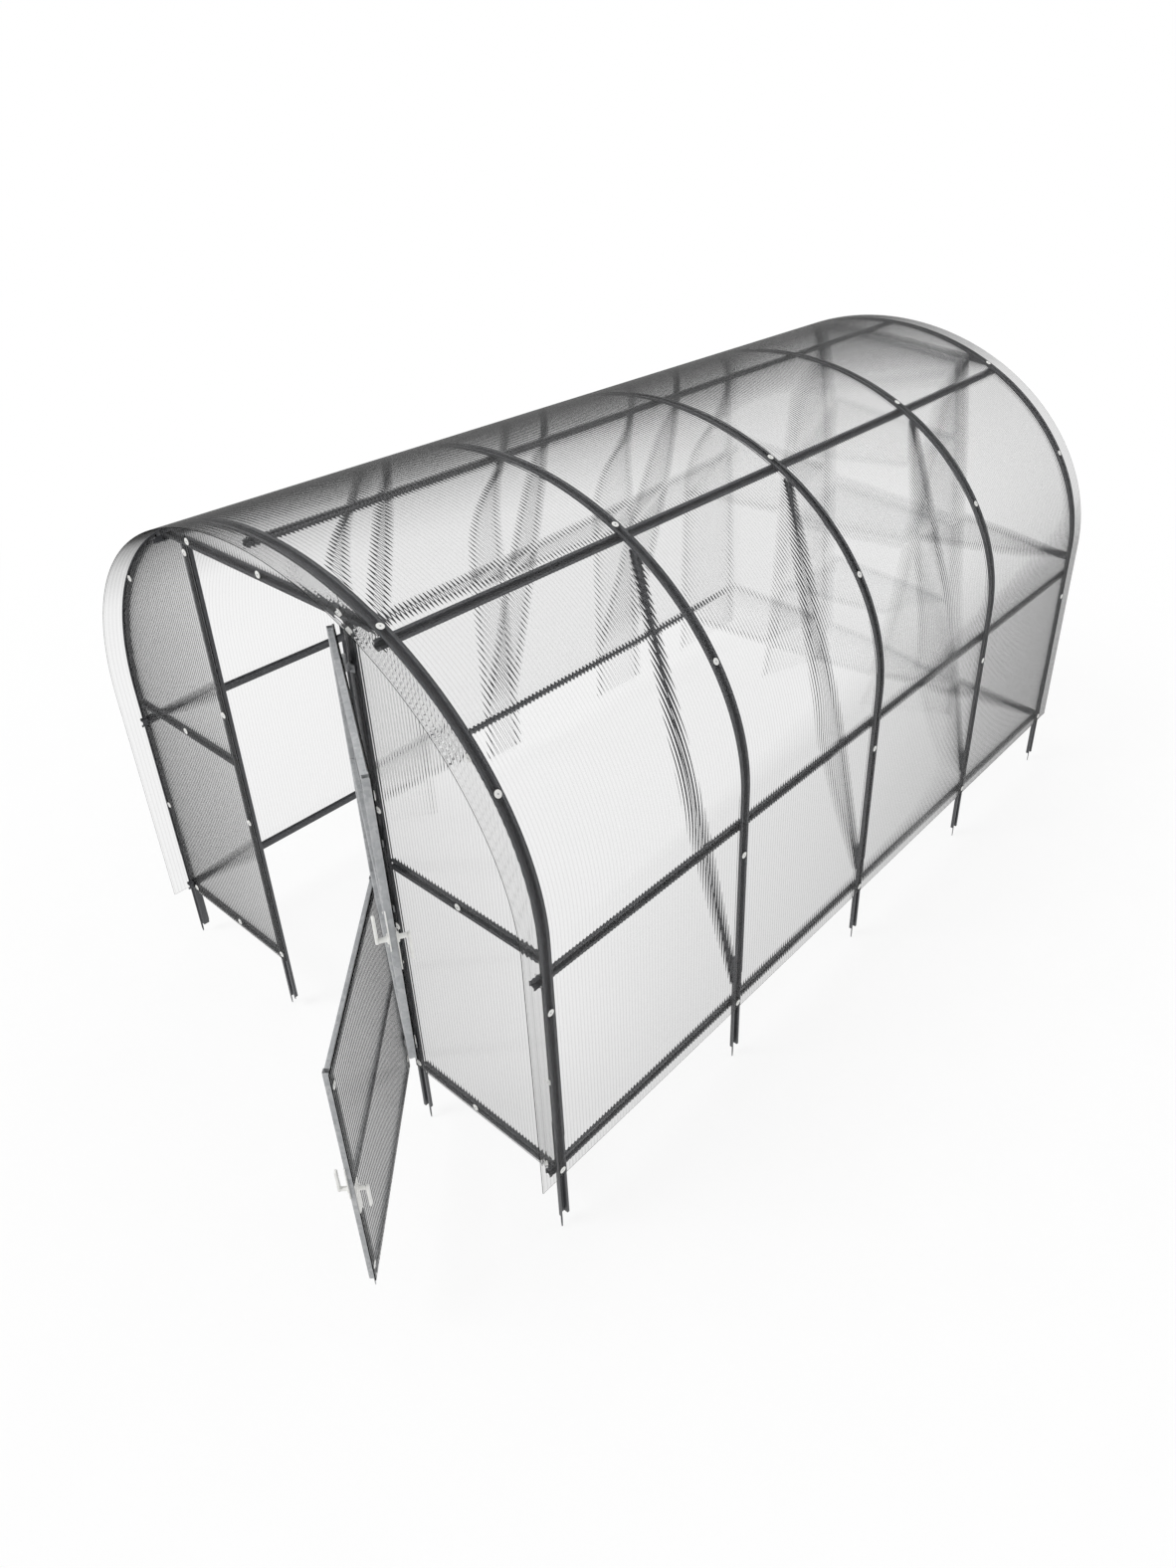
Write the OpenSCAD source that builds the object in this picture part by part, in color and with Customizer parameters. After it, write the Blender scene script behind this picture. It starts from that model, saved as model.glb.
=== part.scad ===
// Walk-in greenhouse: five arches of rolled hat section carry a twin-wall
// polycarbonate skin, and each end has a two-leaf stable door.
// Millimetres. X runs across the house, Y from the front end to the back, Z up.
// The origin is the middle of the house's footprint, doors as they stand, on the floor.

/* [House] */
// Width over the arches
width = 2476; // [2200:4:3000]
// Height of the straight walls above the sill line
wall_h = 1058; // [900:2:1300]
// Rise of the roof curve above the walls
roof_rise = 1040; // [900:2:1250]
// Length of one module, two of which make the house
module_len = 2000; // [1600:10:2500]
// First bay of each module, measured from its front arch
first_bay = 1040; // [760:10:1300]

/* [Stakes] */
// Depth of the stakes below the sill line
stake_depth = 262; // [150:2:400]
// Length of the tongue at the foot of each stake
tongue_len = 45; // [20:1:80]
// Width left at the tip of a tongue
tip_w = 4; // [2:1:8]

/* [Hat section] */
// Width over both flanges
bar_w = 44; // [40:1:60]
// Width of the channel between the flanges
channel_w = 24; // [18:1:30]
// Depth of the channel
bar_d = 20; // [14:1:30]
// Thickness of the steel
steel = 2; // [1:0.5:3]
// Height of the top of each stake above the sill line
splice_top = 250; // [180:5:400]
// Length of the lap between stake and arch
splice_lap = 100; // [40:5:150]

/* [Purlins] */
// Angle of the shoulder purlins on the roof curve
shoulder_angle = 58; // [50:1:66]
// Distance of the side purlins below the top of the walls
side_purlin_drop = 146; // [40:2:400]
// Length of the purlin ends in front of the end arches
stub = 40; // [10:1:60]
// Space between a brace's end and the nearest purlin
brace_gap = 8; // [4:1:40]

/* [Ends] */
// Distance of each door post from the middle of the end
post_x = 470; // [400:2:560]
// Distance of the head rail below the ridge
head_drop = 141; // [120:1:260]
// Distance of the mid rails below the top of the walls
mid_rail_drop = 48; // [0:1:100]

/* [Sheets] */
// Thickness of the twin-wall sheets
sheet_t = 4; // [3:1:10]
// How far the roof sheets reach past the end arches
overhang = 100; // [60:5:200]
// How far the sheets hang below the sill line
sheet_drop = 28; // [24:1:60]
// Gap between two sheets and round the purlin ends
sheet_gap = 2; // [1:0.5:4]

/* [Doors] */
// Angle at which the front upper leaf stands open
upper_open = 150; // [0:1:160]
// Angle at which the front lower leaf stands open
lower_open = 134; // [0:1:160]
// Width of the hat section in the leaves
leaf_bar_w = 36; // [32:1:50]
// Width of its channel
leaf_channel_w = 20; // [16:1:26]
// Gap round each leaf
leaf_gap = 6; // [5:0.5:12]
// Distance below the top of the walls of the gap between the leaves
leaf_split_drop = 101; // [0:1:300]
// Distance of the hinge axis in front of the sheets
hinge_off = 12; // [12:0.5:16]

/* [Fittings] */
// Height of one hinge
hinge_h = 60; // [40:1:100]
// Distance of each hinge from the end of its leaf
hinge_inset = 110; // [60:5:200]
// Radius of a hinge knuckle
knuckle_r = 7; // [6:0.5:9]
// Radius of a hinge pin
pin_r = 4; // [3:0.5:5]
// Length of a hinge plate
plate_w = 34; // [26:1:60]
// Length of a handle's lever
lever_len = 96; // [60:1:140]
// Width of a handle's lever
lever_w = 18; // [12:1:26]
// Distance of the lever from the face behind it
lever_off = 26; // [20:1:45]

/* [Hidden] */

$fn = 48;
cut = 1;                                  // how far a cut runs past the face it opens
pin_clear = 0.05;                         // running clearance round a hinge pin
knuckle_gap = 1;                          // gap between the two knuckles of a hinge
plate_t = 4;                              // thickness of a hinge plate
plate_clear = 2.5;                        // from the hinge axis to the edge of a plate
web_w = 6;                                // thickness of the web from knuckle to plate
lever_t = 9;                              // thickness of a lever
boss_r = 8;                               // radius of a handle's boss
seat_gap = 0.6;                           // from the curve of an arch to the flat of a purlin
leaf_tongue = 26;                         // how far a lower leaf's free stile runs below it
arch_steps = 60;                          // flats round the roof curve
anthracite = [0.25, 0.26, 0.28];
zinc = [0.62, 0.63, 0.65];
clear_sheet = [0.86, 0.90, 0.92, 0.45];
white = [0.92, 0.92, 0.90];

house_len = 2 * module_len;
arch_y = [0, first_bay, module_len, module_len + first_bay, house_len];
half_w = width / 2;
sill_z = stake_depth + tongue_len;
spring_z = sill_z + wall_h;
head_z = spring_z + roof_rise - head_drop;
mid_z = spring_z - mid_rail_drop;
side_purlin_z = spring_z - side_purlin_drop;
sheet_z = sill_z - sheet_drop;
stake_top = sill_z + splice_top;
arch_foot = stake_top - splice_lap;
stake_channel = channel_w + 2 * steel;
face_y = -stake_channel / 2;              // plane in which the end frame meets its sheets
post_inner = post_x - bar_w / 2;
leaf_edge = leaf_gap / 2;                 // from the hinge axis to the leaf's edge
leaf_w = 2 * (post_inner - leaf_gap);
axis_x = post_inner - leaf_gap / 2;
axis_y = face_y - sheet_t - hinge_off;
leaf_low = sill_z - bar_w / 2 + 2;
leaf_mid = spring_z - leaf_split_drop;
leaf_high = head_z - bar_w / 2 - leaf_gap;
lower_z = [leaf_low, leaf_mid - leaf_gap];
upper_z = [leaf_mid + leaf_gap, leaf_high];
free_stile_x = -leaf_edge - leaf_w + leaf_bar_w / 2;

// Lowest Y that a point of an open leaf reaches, and the middle of the house's box.
function turned_y(x, y, a) = axis_y + x * sin(a) + y * cos(a);
lever_back = hinge_off + sheet_t + bar_d + lever_off + lever_t;
leaf_back = hinge_off + sheet_t + bar_d;
function leaf_reach(a) = min(
    turned_y(-leaf_edge - leaf_w, leaf_back, a),
    turned_y(free_stile_x - lever_w / 2, lever_back, a),
    turned_y(free_stile_x + lever_w / 2, lever_back, a));
front_reach = min(-overhang, leaf_reach(upper_open), leaf_reach(lower_open));
mid_y = (front_reach + house_len + overhang) / 2;

// Point on the roof curve at angle a, moved inwards by d, and the lean of its normal.
function roof_normal(a) = let (n = [cos(a) / half_w, sin(a) / roof_rise]) n / norm(n);
function roof_point(a, d) =
    [half_w * cos(a), spring_z + roof_rise * sin(a)] - d * roof_normal(a);
function roof_lean(a) = atan2(roof_normal(a)[0], roof_normal(a)[1]);
// Angle at which a brace clears the shoulder purlin, meeting the arch at about 35 degrees.
shoulder_pace = norm([half_w * sin(shoulder_angle), roof_rise * cos(shoulder_angle)]) * PI / 180;
brace_angle = shoulder_angle - (bar_w / 2 + bar_d / sin(35) + brace_gap) / shoulder_pace;
function roof_curve(d) = [for (i = [0:arch_steps]) roof_point(180 * i / arch_steps, d)];
function arch_line(d, z) =
    concat([[half_w - d, z]], roof_curve(d), [[d - half_w, z]]);
function reversed(list) = [for (i = [len(list) - 1:-1:0]) list[i]];

// Outline of the space inside arches and stakes.
function inner_line() = concat(
    [[half_w - bar_d - steel, 0], [half_w - bar_d - steel, stake_top], [half_w - bar_d, stake_top]],
    roof_curve(bar_d),
    [[bar_d - half_w, stake_top], [bar_d + steel - half_w, stake_top], [bar_d + steel - half_w, 0]]);

// Turns an outline in X and Z into a slab from y0 to y1.
module slab(y0, y1) {
    translate([0, y1, 0]) rotate([90, 0, 0]) linear_extrude(y1 - y0) children();
}

module band(d0, d1, z, y0, y1) {
    slab(y0, y1) polygon(concat(arch_line(d0, z), reversed(arch_line(d1, z))));
}

// Straight bar of hat section along Z: open side towards -Y, crown at +Y.
module bar(len, w = bar_w, c = channel_w) {
    linear_extrude(len) polygon([
        [-w / 2, 0], [-c / 2 + steel, 0], [-c / 2 + steel, bar_d - steel],
        [c / 2 - steel, bar_d - steel], [c / 2 - steel, 0], [w / 2, 0], [w / 2, steel],
        [c / 2, steel], [c / 2, bar_d], [-c / 2, bar_d], [-c / 2, steel], [-w / 2, steel]
    ]);
}

// Rail of hat section from x0 to x1 in the end frame, open side towards -Y.
module rail(x0, x1, z, w = bar_w, c = channel_w) {
    translate([x0, 0, z]) rotate([0, 90, 0]) bar(x1 - x0, w, c);
}

// Pointed tongue that carries on one flange below the end of a bar.
module tongue(len, w, c) {
    f = (w - c) / 2;
    shoulder = -len / 2;
    translate([-w / 2, steel, 0]) rotate([90, 0, 0]) linear_extrude(steel) polygon([
        [0, f], [f, f], [f, shoulder], [(f + tip_w) / 2, -len],
        [(f - tip_w) / 2, -len], [0, shoulder]
    ]);
}

// Stake: the bar that carries an arch and runs down into the ground.
module stake(top, c) {
    translate([0, 0, tongue_len]) {
        bar(top - tongue_len, bar_w, c);
        tongue(tongue_len, bar_w, c);
    }
}

module arch(y) {
    color(anthracite) translate([0, y - mid_y, 0]) difference() {
        union() {
            band(0, steel, arch_foot, -bar_w / 2, bar_w / 2);
            band(0, bar_d, arch_foot, -channel_w / 2, channel_w / 2);
        }
        band(-cut, bar_d - steel, arch_foot - cut, steel - channel_w / 2, channel_w / 2 - steel);
    }
}

module stakes(side) {
    color(anthracite) for (y = arch_y)
        translate([side * (half_w - steel), y - mid_y, 0])
            mirror([side < 0 ? 1 : 0, 0, 0]) rotate([0, 0, 90]) stake(stake_top, stake_channel);
}

// Bar along the house, hung under the arches with its open side outwards.
module purlin(x, z, lean) {
    color(anthracite) translate([x, -stub - mid_y, z])
        rotate([0, lean, 0]) rotate([-90, 0, 0]) bar(house_len + 2 * stub);
}

module roof_purlin(a) {
    p = roof_point(a, bar_d + seat_gap);
    purlin(p[0], p[1], roof_lean(a));
}

module wall_purlin(side, z, d) {
    purlin(side * (half_w - d), z, side * 90);
}

// Struts from the shoulders of an arch to its stakes.
module brace_pair(y) {
    top = roof_point(brace_angle, bar_d);
    foot_x = half_w - bar_d - steel;
    low = sill_z + bar_w / 2 + brace_gap;
    foot = [foot_x, low + bar_d * (top[1] - low) / (foot_x - top[0])];
    run = foot - top;
    color(anthracite) translate([0, y - mid_y, 0]) intersection() {
        slab(-bar_w, bar_w) polygon(inner_line());
        for (side = [0, 1]) mirror([side, 0, 0])
            translate([top[0], 0, top[1]]) rotate([0, 180 + atan2(-run[0], -run[1]), 0])
                translate([0, 0, -bar_w * 2]) rotate([0, 0, 90]) bar(norm(run) + 4 * bar_w);
    }
}

module at_front() {
    translate([0, -mid_y, 0]) children();
}

module at_back() {
    translate([0, house_len - mid_y, 0]) mirror([0, 1, 0]) children();
}

module end_posts() {
    color(anthracite) translate([0, face_y, 0]) for (side = [0, 1]) mirror([side, 0, 0])
        translate([post_x, 0, 0]) mirror([1, 0, 0]) stake(head_z - bar_w / 2, channel_w);
}

// Room for the purlin ends where they pass through an end.
module purlin_room(gap) {
    for (a = [shoulder_angle, 90, 180 - shoulder_angle]) {
        p = roof_point(a, bar_d);
        translate([p[0], -bar_w, p[1]]) rotate([0, roof_lean(a), 0])
            translate([-bar_w / 2 - gap, 0, -bar_d - gap])
                cube([bar_w + 2 * gap, 2 * bar_w, 2 * bar_d + gap]);
    }
    for (side = [0, 1]) mirror([side, 0, 0]) {
        translate([half_w - 2 * bar_d - gap, -bar_w, side_purlin_z - bar_w / 2 - gap])
            cube([2 * bar_d, 2 * bar_w, bar_w + 2 * gap]);
        translate([half_w - 2 * bar_d - steel - gap, -bar_w, 0])
            cube([2 * bar_d, 2 * bar_w, sill_z + bar_w / 2 + gap]);
    }
}

module end_head_rail() {
    color(anthracite) difference() {
        intersection() {
            translate([0, face_y, 0]) rail(-half_w, half_w, head_z);
            slab(-bar_w, bar_w) polygon(inner_line());
        }
        purlin_room(sheet_gap);
    }
}

module end_rails() {
    color(anthracite) translate([0, face_y, 0]) for (side = [0, 1]) mirror([side, 0, 0]) {
        rail(post_x + bar_w / 2, half_w - bar_d, mid_z);
        rail(post_x + bar_w / 2, half_w - 2 * bar_d - steel, sill_z);
    }
}

// Part of an end's skin that lies inside the given outline.
module end_panel(outline) {
    color(clear_sheet) difference() {
        intersection() {
            slab(face_y - sheet_t, face_y) polygon(arch_line(2 * steel + sheet_gap / 2, sheet_z));
            slab(-bar_w, bar_w) polygon(outline);
        }
        purlin_room(sheet_gap);
    }
}

module side_panel() {
    end_panel([[post_inner, 0], [half_w, 0], [half_w, 2 * head_z], [post_inner, 2 * head_z]]);
}

module top_panel() {
    x = post_inner - sheet_gap;
    z = head_z - bar_w / 2;
    end_panel([[-x, z], [x, z], [x, 2 * head_z], [-x, 2 * head_z]]);
}

module roof_sheet(y0, y1) {
    color(clear_sheet) translate([0, -mid_y, 0]) band(-sheet_t, 0, sheet_z, y0, y1);
}

function hinge_z(z) = [z[0] + hinge_inset, z[1] - hinge_inset - hinge_h];

// Half of a hinge: a knuckle on the axis, and a plate that reaches to one side.
module hinge_half(z, h, side) {
    translate([0, 0, z]) {
        cylinder(r = knuckle_r, h = h);
        translate([side > 0 ? plate_clear : -plate_w, hinge_off - plate_t, 0])
            cube([plate_w - plate_clear, plate_t, h]);
        translate([side > 0 ? plate_clear : -plate_clear - web_w, 0, 0])
            cube([web_w, hinge_off, h]);
    }
}

// Fixed halves of the hinges, each with its pin.
module hinges() {
    half = (hinge_h - knuckle_gap) / 2;
    color(zinc) translate([axis_x, axis_y, 0]) for (z = concat(hinge_z(lower_z), hinge_z(upper_z))) {
        hinge_half(z, half, 1);
        translate([0, 0, z]) cylinder(r = pin_r, h = hinge_h);
    }
}

// Places a leaf that is drawn closed, with its hinge axis on the Z axis.
module hung(open) {
    translate([axis_x, axis_y, 0]) rotate([0, 0, open]) children();
}

module leaf_frame(z, open, tail = 0) {
    stile_x = -leaf_edge - leaf_bar_w / 2;
    reach = leaf_channel_w / 2;
    rail_z = [z[0] + leaf_bar_w / 2, (z[0] + z[1]) / 2, z[1] - leaf_bar_w / 2];
    color(zinc) hung(open) translate([0, hinge_off + sheet_t, 0]) {
        translate([stile_x, 0, z[0]]) bar(z[1] - z[0], leaf_bar_w, leaf_channel_w);
        translate([free_stile_x, 0, z[0]]) {
            bar(z[1] - z[0], leaf_bar_w, leaf_channel_w);
            if (tail > 0) tongue(tail, leaf_bar_w, leaf_channel_w);
        }
        for (rz = rail_z)
            rail(free_stile_x + reach, stile_x - reach, rz, leaf_bar_w, leaf_channel_w);
    }
}

module leaf_sheet(z, open) {
    color(clear_sheet) hung(open) translate([-leaf_edge - leaf_w, hinge_off, z[0]])
        cube([leaf_w, sheet_t, z[1] - z[0]]);
}

// Lever handle on a boss, drawn on the plane y = 0 and standing out towards -Y.
module lever() {
    rotate([90, 0, 0]) {
        cylinder(r = boss_r, h = lever_off + lever_t);
        translate([0, 0, lever_off]) linear_extrude(lever_t) {
            circle(r = lever_w / 2);
            translate([-lever_w / 2, -lever_len + lever_w]) square([lever_w, lever_len - lever_w]);
            translate([0, -lever_len + lever_w]) circle(r = lever_w / 2);
        }
    }
}

// Levers on both sides of a leaf, and its halves of the hinges.
module leaf_fittings(z, open) {
    half = (hinge_h - knuckle_gap) / 2;
    lever_z = (z[0] + z[1]) / 2 - leaf_bar_w / 2 - lever_w;
    hung(open) {
        color(white) translate([free_stile_x, 0, lever_z]) {
            translate([0, hinge_off, 0]) lever();
            translate([0, leaf_back, 0]) rotate([0, 180, 180]) lever();
        }
        color(zinc) for (hz = hinge_z(z)) difference() {
            hinge_half(hz + hinge_h - half, half, -1);
            translate([0, 0, hz]) cylinder(r = pin_r + pin_clear, h = hinge_h + cut);
        }
    }
}

arch(arch_y[0]);  // arch_1
arch(arch_y[1]);  // arch_2
arch(arch_y[2]);  // arch_3
arch(arch_y[3]);  // arch_4
arch(arch_y[4]);  // arch_5
stakes(-1);  // stakes_left
stakes(1);  // stakes_right
brace_pair(arch_y[1]);  // brace_pair_2
brace_pair(arch_y[2]);  // brace_pair_3
brace_pair(arch_y[3]);  // brace_pair_4
roof_purlin(90);  // ridge_purlin
roof_purlin(180 - shoulder_angle);  // shoulder_purlin_left
roof_purlin(shoulder_angle);  // shoulder_purlin_right
wall_purlin(-1, side_purlin_z, bar_d);  // side_purlin_left
wall_purlin(1, side_purlin_z, bar_d);  // side_purlin_right
wall_purlin(-1, sill_z, bar_d + steel);  // side_sill_left
wall_purlin(1, sill_z, bar_d + steel);  // side_sill_right
at_front() end_posts();  // front_posts
at_front() end_head_rail();  // front_head_rail
at_front() end_rails();  // front_rails
at_back() end_posts();  // back_posts
at_back() end_head_rail();  // back_head_rail
at_back() end_rails();  // back_rails
at_front() mirror([1, 0, 0]) side_panel();  // front_panel_left
at_front() side_panel();  // front_panel_right
at_front() top_panel();  // front_panel_top
at_back() mirror([1, 0, 0]) side_panel();  // back_panel_left
at_back() side_panel();  // back_panel_right
at_back() top_panel();  // back_panel_top
roof_sheet(-overhang, module_len - sheet_gap / 2);  // roof_sheet_front
roof_sheet(module_len + sheet_gap / 2, house_len + overhang);  // roof_sheet_back
at_front() hinges();  // front_hinges
at_back() hinges();  // back_hinges
at_front() leaf_frame(upper_z, upper_open);  // front_upper_frame
at_front() leaf_sheet(upper_z, upper_open);  // front_upper_sheet
at_front() leaf_fittings(upper_z, upper_open);  // front_upper_fittings
at_front() leaf_frame(lower_z, lower_open, leaf_tongue);  // front_lower_frame
at_front() leaf_sheet(lower_z, lower_open);  // front_lower_sheet
at_front() leaf_fittings(lower_z, lower_open);  // front_lower_fittings
at_back() leaf_frame(upper_z, 0);  // back_upper_frame
at_back() leaf_sheet(upper_z, 0);  // back_upper_sheet
at_back() leaf_fittings(upper_z, 0);  // back_upper_fittings
at_back() leaf_frame(lower_z, 0, leaf_tongue);  // back_lower_frame
at_back() leaf_sheet(lower_z, 0);  // back_lower_sheet
at_back() leaf_fittings(lower_z, 0);  // back_lower_fittings
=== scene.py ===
import math

import bmesh
import bpy
from mathutils import Matrix, Vector


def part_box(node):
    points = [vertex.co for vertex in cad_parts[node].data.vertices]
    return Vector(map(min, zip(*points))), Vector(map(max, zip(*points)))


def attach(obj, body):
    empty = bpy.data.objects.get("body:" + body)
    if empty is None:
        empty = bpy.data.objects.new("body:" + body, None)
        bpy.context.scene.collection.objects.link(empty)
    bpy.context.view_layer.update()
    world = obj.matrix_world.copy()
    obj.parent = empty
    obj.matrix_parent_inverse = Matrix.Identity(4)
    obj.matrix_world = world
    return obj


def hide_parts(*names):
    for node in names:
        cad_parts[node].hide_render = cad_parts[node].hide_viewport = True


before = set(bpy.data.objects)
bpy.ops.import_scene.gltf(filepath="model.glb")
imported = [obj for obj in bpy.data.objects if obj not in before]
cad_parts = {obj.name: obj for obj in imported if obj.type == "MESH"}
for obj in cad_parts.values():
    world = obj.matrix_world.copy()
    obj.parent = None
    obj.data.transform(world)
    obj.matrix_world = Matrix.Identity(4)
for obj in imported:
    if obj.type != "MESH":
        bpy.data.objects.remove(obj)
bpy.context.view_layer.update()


# ---- Stakes ----
# The house stands on ten short steel stakes: strip rolled to a hat section, then powder
# coated anthracite. Each ends in a pointed tongue, cut from its front flange, that is
# driven into the ground, and its open side faces out of the house.

MM = 0.001                # the shapes below are drawn in millimetres
STEEL = 2                 # thickness of the strip
BEND = 2.6                # bend radius, to the middle of the strip
HAIRLINE = 0.3            # gap between faces that touch, so neither shows through the other
BAR_W = 44                # over both flanges
CHANNEL_W = 24            # over both walls of the channel
BAR_D = 20                # from the flanges to the crown
TONGUE = 45
TONGUE_TIP = 4            # width of its blunt point
TONGUE_LAP = 1            # how far it runs up onto its flange
SHARP = 35                # edges that turn further than this, in degrees, stay crisp
LAP = 100                 # how far a stake runs up behind the leg of its arch
X = Vector((1, 0, 0))
Y = Vector((0, 1, 0))
Z = Vector((0, 0, 1))


def middle(name):
    """Middle of a frame part's box, in millimetres."""
    low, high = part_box(name)
    return (low + high) / 2 / MM


half_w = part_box("arch_1")[1].x / MM
arch_y = [middle("arch_%d" % n).y for n in range(1, 6)]
stake_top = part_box("stakes_right")[1].z / MM


def bent_strip(corners, thick=STEEL, radius=BEND, steps=4):
    """Outline of a strip of sheet that turns a right angle at each inner corner."""
    corners = [Vector(c) for c in corners]
    spine = []
    for before, corner, after in zip([None] + corners, corners, corners[1:] + [None]):
        arrives = (corner - before).normalized() if before else None
        leaves = (after - corner).normalized() if after else None
        if arrives is None or leaves is None:
            run = leaves or arrives
            spine.append((corner, Vector((-run.y, run.x))))
            continue
        side = 1 if arrives.x * leaves.y - arrives.y * leaves.x > 0 else -1
        inward = Vector((-arrives.y, arrives.x)) * side
        centre = corner - arrives * radius + inward * radius
        for k in range(steps + 1):
            spoke = (-inward).copy()
            spoke.rotate(Matrix.Rotation(side * math.pi / 2 * k / steps, 2))
            spine.append((centre + spoke * radius, -spoke * side))
    left = [p + n * thick / 2 for p, n in spine]
    right = [p - n * thick / 2 for p, n in spine]
    return left + right[::-1]


def hat(width=BAR_W, channel=CHANNEL_W, depth=BAR_D):
    """Hat section: both flanges lie at depth 0 and the crown at the full depth."""
    half = STEEL / 2
    wall = channel / 2 - half
    return bent_strip([(-width / 2, half), (-wall, half), (-wall, depth - half),
                       (wall, depth - half), (wall, half), (width / 2, half)])


def skin(rings, closed=False):
    """Closed shape through rings of points: ends are capped, or joined if it is closed."""
    points = [p for ring in rings for p in ring]
    n = len(rings[0])
    faces = []
    for k in range(len(rings) - (0 if closed else 1)):
        a = k * n
        b = (k + 1) % len(rings) * n
        for i in range(n):
            j = (i + 1) % n
            faces.append((a + i, a + j, b + j, b + i))
    if not closed:
        faces.append(tuple(range(n))[::-1])
        faces.append(tuple(range(len(points) - n, len(points))))
    return points, faces


def straight_bar(section, start, end, across, depth, start_cut=None, end_cut=None):
    """Bar of one section between two points, each end square or cut to a plane's normal."""
    run = (end - start).normalized()
    rings = []
    for at, cut in ((start, start_cut or run), (end, end_cut or run)):
        ring = [at + across * p[0] + depth * p[1] for p in section]
        rings.append([p - run * ((p - at).dot(cut) / run.dot(cut)) for p in ring])
    return skin(rings)


def plate(outline, at, across, up, thick, chamfer=0.4):
    """Flat plate with small chamfers, its thickness along across x up."""
    face = across.cross(up)
    centre = sum((Vector(p) for p in outline), Vector((0, 0))) / len(outline)
    rings = []
    for inset, height in ((chamfer, 0), (0, chamfer), (0, thick - chamfer), (chamfer, thick)):
        ring = []
        for p in outline:
            out = Vector(p) - centre
            q = centre + out * (1 - inset / max(out.length, 2 * inset))
            ring.append(at + across * q.x + up * q.y + face * height)
        rings.append(ring)
    return skin(rings)


def tongue(length, width, channel, at, across, depth):
    """Pointed tongue that carries one flange on below the foot of a bar."""
    f = (width - channel) / 2
    outline = [(-width / 2 + a, b) for a, b in (
        (0, TONGUE_LAP), (f, TONGUE_LAP), (f, -length / 2), ((f + TONGUE_TIP) / 2, -length),
        ((f - TONGUE_TIP) / 2, -length), (0, -length / 2))]
    side = across.cross(Z)
    shift = depth * STEEL if side.dot(depth) < 0 else Vector((0, 0, 0))
    return plate(outline, at + shift, across, Z, STEEL)


def stake(top, channel, foot, across, depth):
    """Stake with its tongue: foot is the point of the ground under its flanges."""
    low = foot + Z * TONGUE
    bar = straight_bar(hat(BAR_W, channel), low, foot + Z * top, across, depth)
    return [bar, tongue(TONGUE, BAR_W, channel, low, across, depth)]


def piece(name, shapes, material, body, replaced=(), place=None):
    """Joins shapes into one smooth-shaded mesh that rides on a body of the frame."""
    corners = []
    faces = []
    for points, sides in shapes:
        faces += [[len(corners) + i for i in side] for side in sides]
        corners += [place(p) if place else p for p in points]
    mesh = bpy.data.meshes.new(name)
    mesh.from_pydata([p * MM for p in corners], [], faces)
    work = bmesh.new()
    work.from_mesh(mesh)
    bmesh.ops.recalc_face_normals(work, faces=work.faces)
    work.to_mesh(mesh)
    work.free()
    mesh.shade_smooth()
    mesh.set_sharp_from_angle(angle=math.radians(SHARP))
    mesh.materials.append(material)
    made = bpy.data.objects.new(name, mesh)
    bpy.context.scene.collection.objects.link(made)
    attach(made, body)
    if replaced:
        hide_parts(*replaced)
    return made


def paint(code):
    """sRGB hex colour as the linear colour that a shader takes."""
    parts = [int(code[i:i + 2], 16) / 255 for i in (1, 3, 5)]
    return [p / 12.92 if p <= 0.04045 else ((p + 0.055) / 1.055) ** 2.4 for p in parts] + [1]


def add(tree, kind, inputs=None, stops=(), **settings):
    """Adds a node with its settings; each input is a value or the socket that feeds it.
    A colour ramp also takes its stops, as (place, hex colour)."""
    made = tree.nodes.new(kind)
    for name, value in settings.items():
        setattr(made, name, value)
    for n, (place, code) in enumerate(stops):
        band = made.color_ramp.elements
        stop = band[n] if n < len(band) else band.new(place)
        stop.position = place
        stop.color = paint(code)
    for name, value in (inputs or {}).items():
        if isinstance(value, bpy.types.NodeSocket):
            tree.links.new(value, made.inputs[name])
        else:
            made.inputs[name].default_value = value
    return made


def new_material(name):
    made = bpy.data.materials.new(name)
    made.use_nodes = True
    made.node_tree.nodes.clear()
    return made, made.node_tree


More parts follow.
